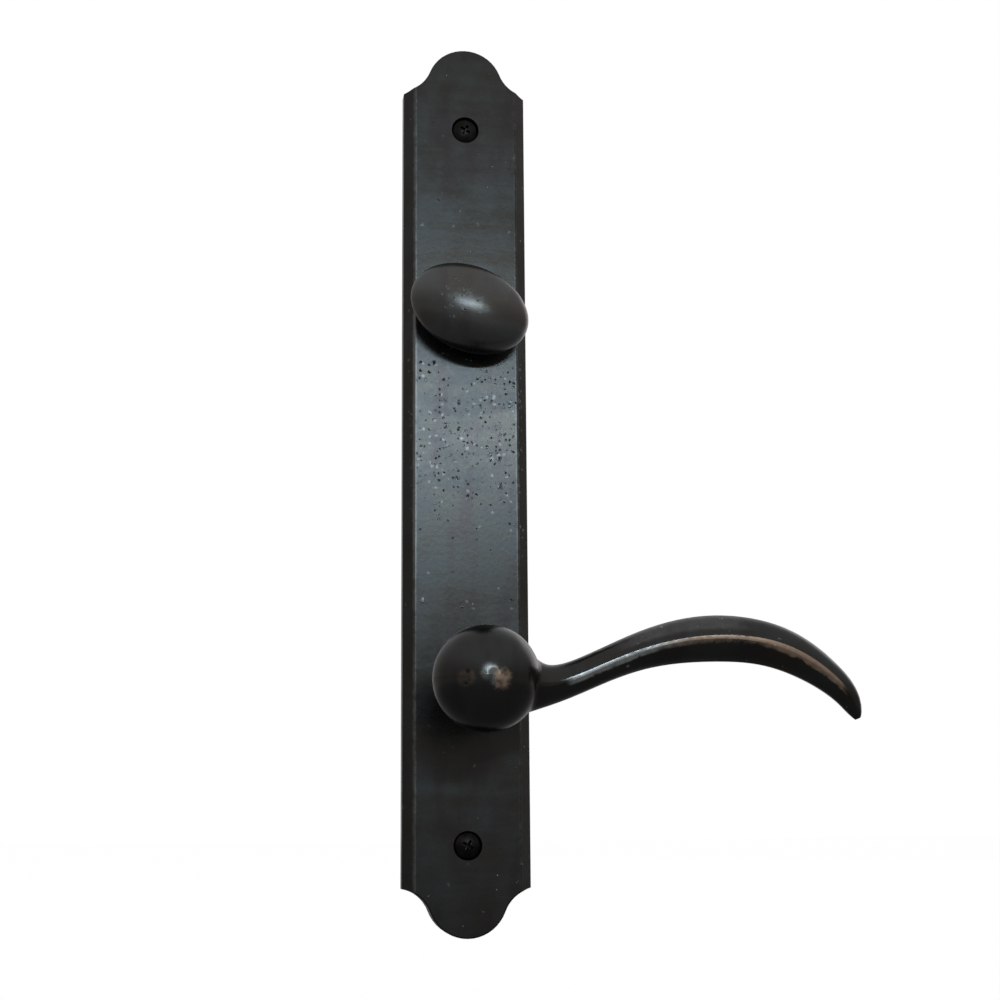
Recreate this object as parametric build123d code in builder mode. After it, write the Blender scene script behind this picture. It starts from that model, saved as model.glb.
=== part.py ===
from build123d import *
import math
import os

os.makedirs("parts", exist_ok=True)

# Frame: the spindle's axis runs along Y through the origin, the door's face is the plane Y = 0,
# +X points along the lever, +Z up the door. Heights are measured from the door's face to the viewer.

# Plate
plate_length = 273.0
plate_width = 38.0
plate_thickness = 8.0
plate_centre_z = 64.3
front_wall = 2.2
side_wall = 2.5
end_dome_radius = 11.8
end_dome_turn = 69.0
shoulder_drop = 14.2
bevel_width = 3.3
bevel_depth = 3.4
arris_radius = 0.5
rib_thickness = 2.0
rib_recess = 1.5

# Mounting screws
screw_spacing = 220.0
screw_boss_radius = 6.5
screw_hole_radius = 2.3
screw_head_radius = 4.2
screw_head_recess = 0.8
screw_head_angle = 82.0
screw_dome = 1.3
screw_shank_radius = 1.75
screw_thread_radius = 2.0
screw_reach = 40.0
screw_relief = 3.0
screw_point = 0.8
screw_drive_length = 4.4
screw_drive_width = 0.9
screw_drive_depth = 2.0
screw_drive_turn = 30.0
screw_seat_clearance = 0.05

# Bearings of the lever and the thumb turn
turn_z = 113.7
lever_shank_radius = 7.5
turn_stem_radius = 5.5
bush_wall = 1.1
bush_flange_width = 1.2
bush_flange = 0.7
bush_recess = 0.3
boss_wall = 1.4
boss_length = 1.8
running_clearance = 0.05
seat_clearance = 0.02
end_play = 0.1
face_washer = 0.8
face_washer_width = 2.0

# Retaining rings, spring washers and the thrust washer
ring_thickness = 0.9
ring_width = 2.2
ring_groove_depth = 0.7
ring_gap = 5.0
ring_lug_radius = 1.3
ring_lug_hole = 0.6
shank_overrun = 0.4
spring_washer_thickness = 0.35
spring_washer_bow = 0.33
spring_washer_width = 2.1
thrust_washer = 0.5

# Return spring, cam, post and stops
cam_thickness = 1.0
cam_rim = 2.2
cam_flat = 6.1
tab_gap = 0.3
tab_inner = 15.4
tab_outer = 17.2
spring_wire = 1.8
spring_radius = 12.2
spring_bend = 2.0
spring_leg_end = 22.0
post_width = 5.0
post_depth = 2.6
post_gap = 0.9
stop_radius = 1.8
stop_pitch_radius = 15.2
stop_gap = 0.35
lever_travel = 45.0

# Lever
ball_radius = 14.8
ball_standoff = 41.6
foot_radius = 10.0
foot_thickness = 1.6
foot_edge = 0.5
neck_radius = 8.2
ball_cove = 5.5
spindle_size = 8.0
spindle_socket_depth = 25.0
spindle_reach = 50.0
spindle_chamfer = 0.8
set_screw_radius = 2.1
set_screw_rise = 8.0
set_screw_inset = 0.4
set_screw_socket = 1.25
set_screw_socket_depth = 2.0

# Arm of the lever: its sections' places from the ball's centre, half heights and half depths,
# then how full their fronts are, from 0.5 for flat flanks to 0.7 for a round front.
# The first two are shares of the ball's radius, the others shares of the arm's reach
arm_reach = 104.6
arm_root = (0.676, -0.054, 0.640, 0.600, 0.65)
arm_throat = (1.297, -0.101, 0.351, 0.351, 0.67)
arm_slope = (0.296, 0.0275, 0.044, 0.047, 0.68)
arm_rise = (0.430, 0.0785, 0.051, 0.047, 0.67)
arm_crest = (0.621, 0.108, 0.062, 0.050, 0.65)
arm_fall = (0.789, 0.085, 0.057, 0.050, 0.65)
arm_hook = (0.925, 0.009, 0.042, 0.040, 0.66)
arm_claw = (0.986, -0.060, 0.028, 0.027, 0.67)
arm_tip = (0.9985, -0.0905, 0.0172, 0.0172, 0.67)
arm_point = (1.0045, -0.1045, 0.0080, 0.0085, 0.67)
arm_start_dip = 0.1
arm_end_lean = 0.45
arm_edge_share = 0.18
arm_ridge_share = 0.45
arm_cove = 2.5

# Thumb turn
knob_half_length = 18.5
knob_half_height = 13.1
knob_half_depth = 8.6
knob_standoff = 9.4
knob_tilt = 21.7
turn_foot_radius = 7.8
turn_foot_height = 2.0
blade_width = 6.0
blade_thickness = 2.0
blade_depth = 9.5
blade_reach = 35.0
blade_chamfer = 0.8
pin_radius = 0.8
pin_inset = 0.3

# Heights of the bearing stack, worked out from the face backwards
wall_h = plate_thickness - front_wall
boss_h = wall_h - boss_length
flange_h = boss_h - bush_flange
foot_h = plate_thickness + face_washer + end_play
spring_washer_room = spring_washer_bow + spring_washer_thickness + 2 * seat_clearance
cam_front_h = flange_h - end_play
cam_back_h = cam_front_h - cam_thickness
lever_ring_h = cam_back_h - spring_washer_room - ring_thickness
lever_end_h = lever_ring_h - shank_overrun
turn_washer_h = flange_h - end_play - thrust_washer
turn_ring_h = turn_washer_h - spring_washer_room - ring_thickness
turn_end_h = turn_ring_h - shank_overrun
spring_h = (wall_h + cam_front_h) / 2
ball_h = plate_thickness + ball_standoff
knob_h = plate_thickness + knob_standoff
screw_seat_h = plate_thickness - screw_head_recess
screw_zs = [plate_centre_z - screw_spacing / 2, plate_centre_z + screw_spacing / 2]


def at_height(h, z=0.0, tilt=0.0):
    """Plane parallel to the door at a height, x along the door, normal to the viewer."""
    angle = math.radians(tilt)
    x_dir = (math.cos(angle), 0, -math.sin(angle))
    return Plane(origin=(0, -h, z), x_dir=x_dir, z_dir=(0, -1, 0))


def turning_axis(z):
    return Axis((0, 0, z), (0, 1, 0))


def plate_outline():
    """Outline of the plate: a dome and two coves at each end, straight long sides."""
    half_width = plate_width / 2
    half_length = plate_length / 2
    shoulder = half_length - shoulder_drop
    dome = CenterArc((0, half_length - end_dome_radius), end_dome_radius, 90, -end_dome_turn)
    TangentArc(dome @ 1, (half_width, shoulder), tangent=dome % 1)
    mirror(about=Plane.XZ)
    Line((half_width, shoulder), (half_width, -shoulder))
    mirror(about=Plane.YZ)


# Escutcheon plate
lever_boss_radius = lever_shank_radius + running_clearance + bush_wall + boss_wall
turn_boss_radius = turn_stem_radius + running_clearance + bush_wall + boss_wall
post_z = tab_outer + post_gap + post_depth / 2
tab_width = post_width - 2 * tab_gap
stop_turn = math.degrees(math.asin((tab_width / 2 + stop_radius + stop_gap) / stop_pitch_radius))
stop_angle = math.radians(lever_travel + stop_turn)
stop_x = stop_pitch_radius * math.sin(stop_angle)
stop_z = stop_pitch_radius * math.cos(stop_angle)
stop_h = cam_back_h - seat_clearance
rib_zs = screw_zs + [plate_centre_z]

with BuildPart() as plate:
    with BuildSketch(at_height(0, plate_centre_z)):
        with BuildLine():
            plate_outline()
        make_face()
    extrude(amount=plate_thickness)
    front = plate.faces().sort_by(Axis.Y)[0]
    chamfer(front.edges().filter_by(Axis.Z), bevel_width, bevel_depth, reference=front)
    front = plate.faces().filter_by(Axis.Y).sort_by(Axis.Y)[0]
    fillet(front.edges(), arris_radius)
    # Hollow back
    with BuildSketch(at_height(0, plate_centre_z)):
        with BuildLine():
            plate_outline()
        make_face()
        offset(amount=-side_wall, kind=Kind.INTERSECTION)
    extrude(amount=wall_h, mode=Mode.SUBTRACT)
    # Ribs from wall to wall, and the bosses of the screws
    with BuildSketch(at_height(rib_recess)):
        with Locations(*[(0, z) for z in rib_zs]):
            Rectangle(plate_width - side_wall, rib_thickness)
    extrude(amount=wall_h - rib_recess)
    with BuildSketch(at_height(0)):
        with Locations(*[(0, z) for z in screw_zs]):
            Circle(screw_boss_radius)
    extrude(amount=wall_h)
    # Bearing bosses, spring post and stops of the lever
    with BuildSketch(at_height(boss_h)):
        Circle(lever_boss_radius)
        with Locations((0, turn_z)):
            Circle(turn_boss_radius)
    extrude(amount=boss_length)
    with BuildSketch(at_height(stop_h)):
        with Locations((0, post_z)):
            Rectangle(post_width, post_depth)
        with Locations((-stop_x, stop_z), (stop_x, stop_z)):
            Circle(stop_radius)
    extrude(amount=wall_h - stop_h)
    # Bores and screw holes
    with Locations(at_height(plate_thickness)):
        Hole(lever_shank_radius + running_clearance + bush_wall + seat_clearance)
    with Locations(at_height(plate_thickness, turn_z)):
        Hole(turn_stem_radius + running_clearance + bush_wall + seat_clearance)
    with Locations(*[at_height(plate_thickness, z) for z in screw_zs]):
        Hole(screw_head_radius + screw_seat_clearance, depth=screw_head_recess)
    with Locations(*[at_height(screw_seat_h, z) for z in screw_zs]):
        CounterSinkHole(
            screw_hole_radius,
            screw_head_radius + screw_seat_clearance,
            counter_sink_angle=screw_head_angle,
        )
plate.part.label = "escutcheon_plate"
export_step(plate.part, "parts/escutcheon_plate.step")


# Mounting screws
head_slope = math.tan(math.radians(screw_head_angle / 2))
head_foot_h = screw_seat_h - (screw_head_radius - screw_shank_radius) / head_slope
crown_h = screw_seat_h + screw_dome

with BuildPart() as screws:
    for z in screw_zs:
        with BuildSketch(Plane.XY.offset(z)):
            with BuildLine():
                TangentArc((0, -crown_h), (screw_head_radius, -screw_seat_h), tangent=(1, 0))
                Polyline(
                    (screw_head_radius, -screw_seat_h),
                    (screw_shank_radius, -head_foot_h),
                    (screw_shank_radius, screw_relief),
                    (screw_thread_radius, screw_relief + screw_thread_radius - screw_shank_radius),
                    (screw_thread_radius, screw_reach - screw_point),
                    (screw_thread_radius - screw_point, screw_reach),
                    (0, screw_reach),
                    (0, -crown_h),
                )
            make_face()
        revolve(axis=turning_axis(z))
    with BuildSketch(at_height(crown_h)):
        with Locations(*[(0, z) for z in screw_zs]):
            Rectangle(screw_drive_length, screw_drive_width, rotation=screw_drive_turn)
            Rectangle(screw_drive_width, screw_drive_length, rotation=screw_drive_turn)
    extrude(amount=-screw_drive_depth, mode=Mode.SUBTRACT)
screws.part.label = "mounting_screws"
export_step(screws.part, "parts/mounting_screws.step")


def bearing_bush(z, shaft_radius):
    """Flanged nylon bush, put into its boss from the back."""
    bore = shaft_radius + running_clearance
    outside = bore + bush_wall
    with BuildPart() as bush:
        with BuildSketch(Plane.XY.offset(z)):
            with BuildLine():
                Polyline(
                    (bore, -flange_h),
                    (outside + bush_flange_width, -flange_h),
                    (outside + bush_flange_width, -boss_h),
                    (outside, -boss_h),
                    (outside, bush_recess - plate_thickness),
                    (bore, bush_recess - plate_thickness),
                    close=True,
                )
            make_face()
        revolve(axis=turning_axis(z))
    return bush.part


def flat_washer(h, z, inside, outside, thickness):
    """Flat washer whose back face is at a height."""
    with BuildPart() as washer:
        with BuildSketch(at_height(h, z)):
            Circle(outside)
            Circle(inside, mode=Mode.SUBTRACT)
        extrude(amount=thickness)
    return washer.part


def bowed_washer(h, z, inside, outside):
    """Spring washer bent about the upright line: its sides bear at the back, its middle in front."""
    back = -h - seat_clearance
    front = back - spring_washer_thickness
    with BuildPart() as washer:
        with BuildSketch(Plane.XY.offset(z - outside)):
            with BuildLine():
                ThreePointArc((-outside, back), (0, back - spring_washer_bow), (outside, back))
                Line((outside, back), (outside, front))
                ThreePointArc((outside, front), (0, front - spring_washer_bow), (-outside, front))
                Line((-outside, front), (-outside, back))
            make_face()
        extrude(amount=2 * outside)
        with BuildSketch(at_height(h, z)):
            Circle(outside)
            Circle(inside, mode=Mode.SUBTRACT)
        extrude(amount=spring_washer_room, mode=Mode.INTERSECT)
    return washer.part


def retaining_ring(h, z, shaft_radius):
    """External retaining ring, open at the bottom, with two lugs for the pliers."""
    inside = shaft_radius - ring_groove_depth + seat_clearance
    outside = shaft_radius + ring_width
    lug_x = ring_gap / 2 + ring_lug_radius
    lug_y = -math.sqrt(outside**2 - lug_x**2)
    with BuildPart() as ring:
        with BuildSketch(at_height(h, z)):
            Circle(outside)
            with Locations((-lug_x, lug_y), (lug_x, lug_y)):
                Circle(ring_lug_radius)
            with Locations((-lug_x, lug_y), (lug_x, lug_y)):
                Circle(ring_lug_hole, mode=Mode.SUBTRACT)
            Circle(inside, mode=Mode.SUBTRACT)
            with Locations((0, -outside)):
                Rectangle(ring_gap, 2 * ring_width, mode=Mode.SUBTRACT)
        extrude(amount=ring_thickness)
    return ring.part


# Bushes, washers and rings of both shafts
lever_washer_in = lever_shank_radius + running_clearance
turn_washer_in = turn_stem_radius + running_clearance
small_pieces = {
    "lever_bush": bearing_bush(0, lever_shank_radius),
    "turn_bush": bearing_bush(turn_z, turn_stem_radius),
    "lever_face_washer": flat_washer(
        plate_thickness, 0, lever_washer_in, lever_washer_in + face_washer_width, face_washer
    ),
    "turn_face_washer": flat_washer(
        plate_thickness, turn_z, turn_washer_in, turn_washer_in + face_washer_width, face_washer
    ),
    "turn_thrust_washer": flat_washer(
        turn_washer_h, turn_z, turn_washer_in, turn_washer_in + spring_washer_width, thrust_washer
    ),
    "lever_spring_washer": bowed_washer(
        lever_ring_h + ring_thickness, 0, lever_washer_in, lever_washer_in + spring_washer_width
    ),
    "turn_spring_washer": bowed_washer(
        turn_ring_h + ring_thickness, turn_z, turn_washer_in, turn_washer_in + spring_washer_width
    ),
    "lever_retaining_ring": retaining_ring(lever_ring_h, 0, lever_shank_radius),
    "turn_retaining_ring": retaining_ring(turn_ring_h, turn_z, turn_stem_radius),
}
for name, piece in small_pieces.items():
    piece.label = name
    export_step(piece, f"parts/{name}.step")


# Return spring: one open turn round the boss, its straight legs on both sides of the post and the tab
leg_x = post_width / 2 + spring_wire / 2
bend_x = leg_x + spring_bend
bend_z = math.sqrt((spring_radius + spring_bend) ** 2 - bend_x**2)
bend_share = spring_radius / (spring_radius + spring_bend)
ring_end = (bend_x * bend_share, bend_z * bend_share)
bend_turn = math.degrees(math.atan2(bend_z, bend_x))

with BuildPart() as spring:
    with BuildLine(at_height(spring_h)) as wire:
        Line((-leg_x, spring_leg_end), (-leg_x, bend_z))
        CenterArc((-bend_x, bend_z), spring_bend, 0, -bend_turn)
        ThreePointArc((-ring_end[0], ring_end[1]), (0, -spring_radius), ring_end)
        CenterArc((bend_x, bend_z), spring_bend, 180 + bend_turn, -bend_turn)
        Line((leg_x, bend_z), (leg_x, spring_leg_end))
    with BuildSketch(Plane(origin=wire.line @ 0, z_dir=wire.line % 0)):
        Rectangle(spring_wire, spring_wire)
    sweep(path=wire.line)
spring.part.label = "lever_return_spring"
export_step(spring.part, "parts/lever_return_spring.step")


# Return cam: a stamped disc on the shank's flats, with a tab bent forward between the spring's legs
cam_radius = lever_shank_radius + cam_rim
tab_length = spring_h + spring_wire / 2 - cam_back_h

with BuildPart() as cam:
    with BuildSketch(at_height(cam_back_h)):
        Circle(cam_radius)
        with Locations((0, tab_outer / 2)):
            Rectangle(tab_width, tab_outer)
    extrude(amount=cam_thickness)
    with BuildSketch(at_height(cam_back_h)):
        with Locations((0, (tab_inner + tab_outer) / 2)):
            Rectangle(tab_width, tab_outer - tab_inner)
    extrude(amount=tab_length)
    fillet(cam.edges().filter_by(Axis.X).group_by(Axis.Z)[-1].sort_by(Axis.Y)[-1], cam_thickness)
    with BuildSketch(at_height(cam_back_h)):
        Circle(lever_shank_radius + seat_clearance)
        Rectangle(2 * cam_radius, 2 * (cam_flat + seat_clearance), mode=Mode.INTERSECT)
    extrude(amount=cam_thickness, mode=Mode.SUBTRACT)
cam.part.label = "return_cam"
export_step(cam.part, "parts/return_cam.step")


# Arm of the lever: sections across a curved line, with a soft ridge in front and a round back
class ArmStation:
    """One section across the arm: centre and half sizes as shares of a length, and fullness."""

    def __init__(self, length, shares):
        x, z, height, depth = [length * share for share in shares[:4]]
        self.centre = Vector(x, -ball_h, z)
        self.height = height
        self.depth = depth
        self.fullness = shares[4]


near_ball = [ArmStation(ball_radius, shares) for shares in (arm_root, arm_throat)]
grip_shares = (arm_slope, arm_rise, arm_crest, arm_fall, arm_hook, arm_claw, arm_tip, arm_point)
arm_stations = near_ball + [ArmStation(arm_reach, shares) for shares in grip_shares]
arm_ends = [(1, 0, -arm_start_dip), (arm_end_lean, 0, -1)]
arm_line = Spline(*[station.centre for station in arm_stations], tangents=arm_ends)


def arm_section(station):
    """Section square to the arm's line, x up the section, y to the viewer."""
    along = arm_line % arm_line.param_at_point(station.centre)
    side = (station.fullness * station.height, station.fullness * station.depth)
    top = (station.height, 0)
    ridge = (0, station.depth)
    bottom = (-station.height, 0)
    with BuildSketch(Plane(origin=station.centre, x_dir=(-along.Z, 0, along.X), z_dir=along)) as section:
        with BuildLine():
            ThreePointArc(ridge, side, top)
            Spline(top, (0, -station.depth), bottom, tangents=[(0, -1), (0, 1)])
            ThreePointArc(bottom, (-side[0], side[1]), ridge)
        make_face()
        fillet(section.vertices().sort_by(Axis.Y)[:-1], arm_edge_share * station.height)
        fillet(section.vertices().sort_by(Axis.Y)[-1], arm_ridge_share * station.height)
    return section.sketch


# Lever: foot, neck and ball turned about the spindle's axis, with the arm cast on
ball_meet_h = ball_h - math.sqrt(ball_radius**2 - neck_radius**2)
foot_top_h = foot_h + foot_thickness
flat_centre = cam_flat + lever_shank_radius / 2
set_screw_h = foot_top_h + set_screw_rise
set_screw_plane = Plane(origin=(0, -set_screw_h, 0), x_dir=(1, 0, 0), z_dir=(0, 0, -1))
set_screw_length = neck_radius - set_screw_inset - spindle_size / 2
seam_tolerance = 0.001


def on_ball(point):
    """Whether a point lies on the ball, on the arm's side."""
    reach = (point - Vector(0, -ball_h, 0)).length
    return point.X > 0 and abs(reach - ball_radius) < seam_tolerance


with BuildPart() as lever:
    with BuildSketch(Plane(origin=(0, 0, 0), x_dir=(-1, 0, 0), z_dir=(0, 0, -1))) as profile:
        with BuildLine():
            Polyline(
                (0, -lever_end_h),
                (lever_shank_radius, -lever_end_h),
                (lever_shank_radius, -foot_h),
                (foot_radius, -foot_h),
                (foot_radius, -foot_top_h),
                (neck_radius, -foot_top_h),
                (neck_radius, -ball_meet_h),
            )
            ThreePointArc(
                (neck_radius, -ball_meet_h), (ball_radius, -ball_h), (0, -ball_h - ball_radius)
            )
            Line((0, -ball_h - ball_radius), (0, -lever_end_h))
        make_face()
        chamfer(profile.vertices().sort_by_distance((foot_radius, -foot_top_h))[0], foot_edge)
        fillet(profile.vertices().sort_by_distance((neck_radius, -ball_meet_h))[0], ball_cove)
    revolve(axis=Axis.Y)
    loft([arm_section(station) for station in arm_stations])
    ball_seam = lever.edges(Select.LAST).filter_by(lambda edge: on_ball(edge @ 0.5))
    fillet(ball_seam, arm_cove)
    # Shank: flats for the cam, groove of the retaining ring, socket of the spindle
    with BuildSketch(at_height(lever_end_h)):
        with Locations((0, -flat_centre), (0, flat_centre)):
            Rectangle(2 * lever_shank_radius, lever_shank_radius)
    extrude(amount=cam_front_h - lever_end_h, mode=Mode.SUBTRACT)
    with BuildSketch(at_height(lever_ring_h - seat_clearance)):
        Circle(lever_shank_radius + ring_width)
        Circle(lever_shank_radius - ring_groove_depth, mode=Mode.SUBTRACT)
    extrude(amount=ring_thickness + 2 * seat_clearance, mode=Mode.SUBTRACT)
    with BuildSketch(at_height(lever_end_h)):
        Rectangle(spindle_size + 2 * seat_clearance, spindle_size + 2 * seat_clearance)
    extrude(amount=spindle_socket_depth, mode=Mode.SUBTRACT)
    # Tapped hole of the set screw, in the underside of the neck
    with BuildSketch(set_screw_plane):
        Circle(set_screw_radius + seat_clearance)
    extrude(amount=foot_radius, mode=Mode.SUBTRACT)
lever.part.label = "lever_handle"
export_step(lever.part, "parts/lever_handle.step")


# Spindle and its set screw
with BuildPart() as spindle:
    with BuildSketch(at_height(-spindle_reach)):
        Rectangle(spindle_size, spindle_size)
    extrude(amount=spindle_reach + lever_end_h + spindle_socket_depth - end_play)
    chamfer(spindle.faces().filter_by(Axis.Y).edges(), spindle_chamfer)
spindle.part.label = "lever_spindle"
export_step(spindle.part, "parts/lever_spindle.step")

with BuildPart() as set_screw:
    with BuildSketch(set_screw_plane.offset(spindle_size / 2)):
        Circle(set_screw_radius)
    extrude(amount=set_screw_length)
    with BuildSketch(set_screw_plane.offset(spindle_size / 2 + set_screw_length)):
        RegularPolygon(set_screw_socket, 6)
    extrude(amount=-set_screw_socket_depth, mode=Mode.SUBTRACT)
set_screw.part.label = "spindle_set_screw"
export_step(set_screw.part, "parts/spindle_set_screw.step")


# Thumb turn: an egg-shaped knob on a foot and a bearing stem
pin_h = (flange_h + plate_thickness - bush_recess) / 2
pin_plane = Plane(origin=(0, -pin_h, turn_z), z_dir=at_height(0, 0, knob_tilt).y_dir)

with BuildPart() as egg:
    Sphere(knob_half_height)
    stretch = knob_half_length / knob_half_height
    squash = knob_half_depth / knob_half_height
    scale(by=(stretch, squash, 1))

with BuildPart() as turn:
    with BuildSketch(Plane.XY.offset(turn_z)):
        with BuildLine():
            Polyline(
                (0, -turn_end_h),
                (turn_stem_radius, -turn_end_h),
                (turn_stem_radius, -foot_h),
                (turn_foot_radius, -foot_h),
                (turn_foot_radius, -foot_h - turn_foot_height),
                (0, -foot_h - turn_foot_height),
                close=True,
            )
        make_face()
    revolve(axis=turning_axis(turn_z))
    with Locations(Location((0, -knob_h, turn_z), (0, knob_tilt, 0))):
        add(egg.part)
    with BuildSketch(at_height(turn_ring_h - seat_clearance, turn_z)):
        Circle(turn_stem_radius + ring_width)
        Circle(turn_stem_radius - ring_groove_depth, mode=Mode.SUBTRACT)
    extrude(amount=ring_thickness + 2 * seat_clearance, mode=Mode.SUBTRACT)
    with BuildSketch(at_height(turn_end_h, turn_z, knob_tilt)):
        Rectangle(blade_width + 2 * seat_clearance, blade_thickness + 2 * seat_clearance)
    extrude(amount=blade_depth, mode=Mode.SUBTRACT)
    with BuildSketch(pin_plane):
        Circle(pin_radius + seat_clearance)
    extrude(amount=turn_stem_radius, both=True, mode=Mode.SUBTRACT)
turn.part.label = "thumb_turn"
export_step(turn.part, "parts/thumb_turn.step")


# Tailpiece and its pin
with BuildPart() as tailpiece:
    with BuildSketch(at_height(-blade_reach, turn_z, knob_tilt)):
        Rectangle(blade_width, blade_thickness)
    extrude(amount=blade_reach + turn_end_h + blade_depth - end_play)
    blade_tip = tailpiece.faces().filter_by(Axis.Y).sort_by(Axis.Y)[-1]
    chamfer(blade_tip.edges(), blade_chamfer)
    with BuildSketch(pin_plane):
        Circle(pin_radius + seat_clearance)
    extrude(amount=blade_thickness, both=True, mode=Mode.SUBTRACT)
tailpiece.part.label = "turn_tailpiece"
export_step(tailpiece.part, "parts/turn_tailpiece.step")

with BuildPart() as pin:
    with BuildSketch(pin_plane):
        Circle(pin_radius)
    extrude(amount=turn_stem_radius - pin_inset, both=True)
pin.part.label = "tailpiece_pin"
export_step(pin.part, "parts/tailpiece_pin.step")
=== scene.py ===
"""Looks of a patio door handle set: distressed dark bronze, plated inner parts, threaded screws, stage and camera."""

import math

import bpy
from bpy.props import FloatProperty, FloatVectorProperty, IntProperty, PointerProperty
from mathutils import Matrix, Vector


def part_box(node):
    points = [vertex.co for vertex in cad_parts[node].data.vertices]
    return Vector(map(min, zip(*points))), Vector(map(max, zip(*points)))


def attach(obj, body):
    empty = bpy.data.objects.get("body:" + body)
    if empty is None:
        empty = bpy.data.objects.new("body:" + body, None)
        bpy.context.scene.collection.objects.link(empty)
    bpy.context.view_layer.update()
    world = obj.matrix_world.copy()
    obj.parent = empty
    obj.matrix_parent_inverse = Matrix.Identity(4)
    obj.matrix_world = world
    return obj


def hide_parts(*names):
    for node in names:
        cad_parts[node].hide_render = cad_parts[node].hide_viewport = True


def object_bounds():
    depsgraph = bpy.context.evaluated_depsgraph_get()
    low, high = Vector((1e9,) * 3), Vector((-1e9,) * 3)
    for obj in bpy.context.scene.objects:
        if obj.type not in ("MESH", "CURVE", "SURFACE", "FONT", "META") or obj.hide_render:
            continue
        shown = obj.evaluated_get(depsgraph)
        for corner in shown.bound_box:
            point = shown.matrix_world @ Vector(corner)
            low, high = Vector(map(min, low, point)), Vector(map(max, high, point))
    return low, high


bl_info = {
    "name": "Patio Door Handle Set",
    "version": (1, 0, 0),
    "blender": (4, 5, 0),
    "location": "3D View > Sidebar > Handle Set",
    "description": "Gives a patio door handle set its finishes, threaded screws, stage and camera",
    "category": "Object",
}

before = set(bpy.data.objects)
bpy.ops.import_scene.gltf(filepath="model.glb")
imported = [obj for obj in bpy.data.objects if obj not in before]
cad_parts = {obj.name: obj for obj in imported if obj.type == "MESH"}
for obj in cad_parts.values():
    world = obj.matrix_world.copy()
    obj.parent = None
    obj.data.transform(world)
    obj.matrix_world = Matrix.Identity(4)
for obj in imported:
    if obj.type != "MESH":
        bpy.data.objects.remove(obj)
CAD_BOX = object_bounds()
SCREWS_LOW, SCREWS_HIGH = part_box("mounting_screws")
GRUB_LOW, GRUB_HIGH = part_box("spindle_set_screw")
PLATE_LOW, PLATE_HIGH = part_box("escutcheon_plate")


# Settings


class BronzeSettings(bpy.types.PropertyGroup):
    """Colours and relief of the distressed bronze."""

    patina: FloatVectorProperty(
        name="Patina", description="Dark brown of the rubbed patina", subtype="COLOR", size=3, min=0, max=1,
        default=(0.07, 0.063, 0.055),
    )
    haze: FloatVectorProperty(
        name="Haze", description="Paler clouds in the patina", subtype="COLOR", size=3, min=0, max=1,
        default=(0.078, 0.082, 0.083),
    )
    stain: FloatVectorProperty(
        name="Stain", description="Purplish stains in the patina", subtype="COLOR", size=3, min=0, max=1,
        default=(0.068, 0.058, 0.06),
    )
    pit: FloatVectorProperty(
        name="Pit", description="Colour at the bottom of the casting pits", subtype="COLOR", size=3, min=0, max=1,
        default=(0.014, 0.014, 0.014),
    )
    # Pale metal: a painted highlight along the plate's arrises, painted glints on grains and pit lips, and wear on
    # the thumb turn's crown.
    rubbed_and_highlit: FloatVectorProperty(
        name="Rubbed", description="Paler metal where an arris is rubbed", subtype="COLOR", size=3, min=0, max=1,
        default=(0.24, 0.245, 0.245),
    )
    # Painted shade: the side bevels, which face away from the lamps, are painted darker.
    dark: FloatVectorProperty(
        name="Dark", description="Darker patina on the bevels", subtype="COLOR", size=3, min=0, max=1,
        default=(0.04, 0.036, 0.03),
    )
    # Pale metal: a painted highlight where the key lamp's highlight falls on the ridge near the neck and on the ball,
    # partly hand burnish, and a painted sheen on the arm's upper flank.
    burnished_and_highlit: FloatVectorProperty(
        name="Burnished", description="Metal burnished by hands near the ball", subtype="COLOR", size=3, min=0, max=1,
        default=(0.58, 0.58, 0.57),
    )
    copper: FloatVectorProperty(
        name="Copper", description="Bare metal where hands have worn the patina", subtype="COLOR", size=3,
        min=0, max=1, default=(0.6, 0.42, 0.31),
    )
    roughness: FloatProperty(
        name="Roughness", description="Mean roughness of the patina", min=0, max=1, default=0.21,
    )
    pit_depth: FloatProperty(
        name="Pit depth", description="Depth of the casting pits", subtype="DISTANCE", unit="LENGTH", min=0,
        default=0.00008,
    )


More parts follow.
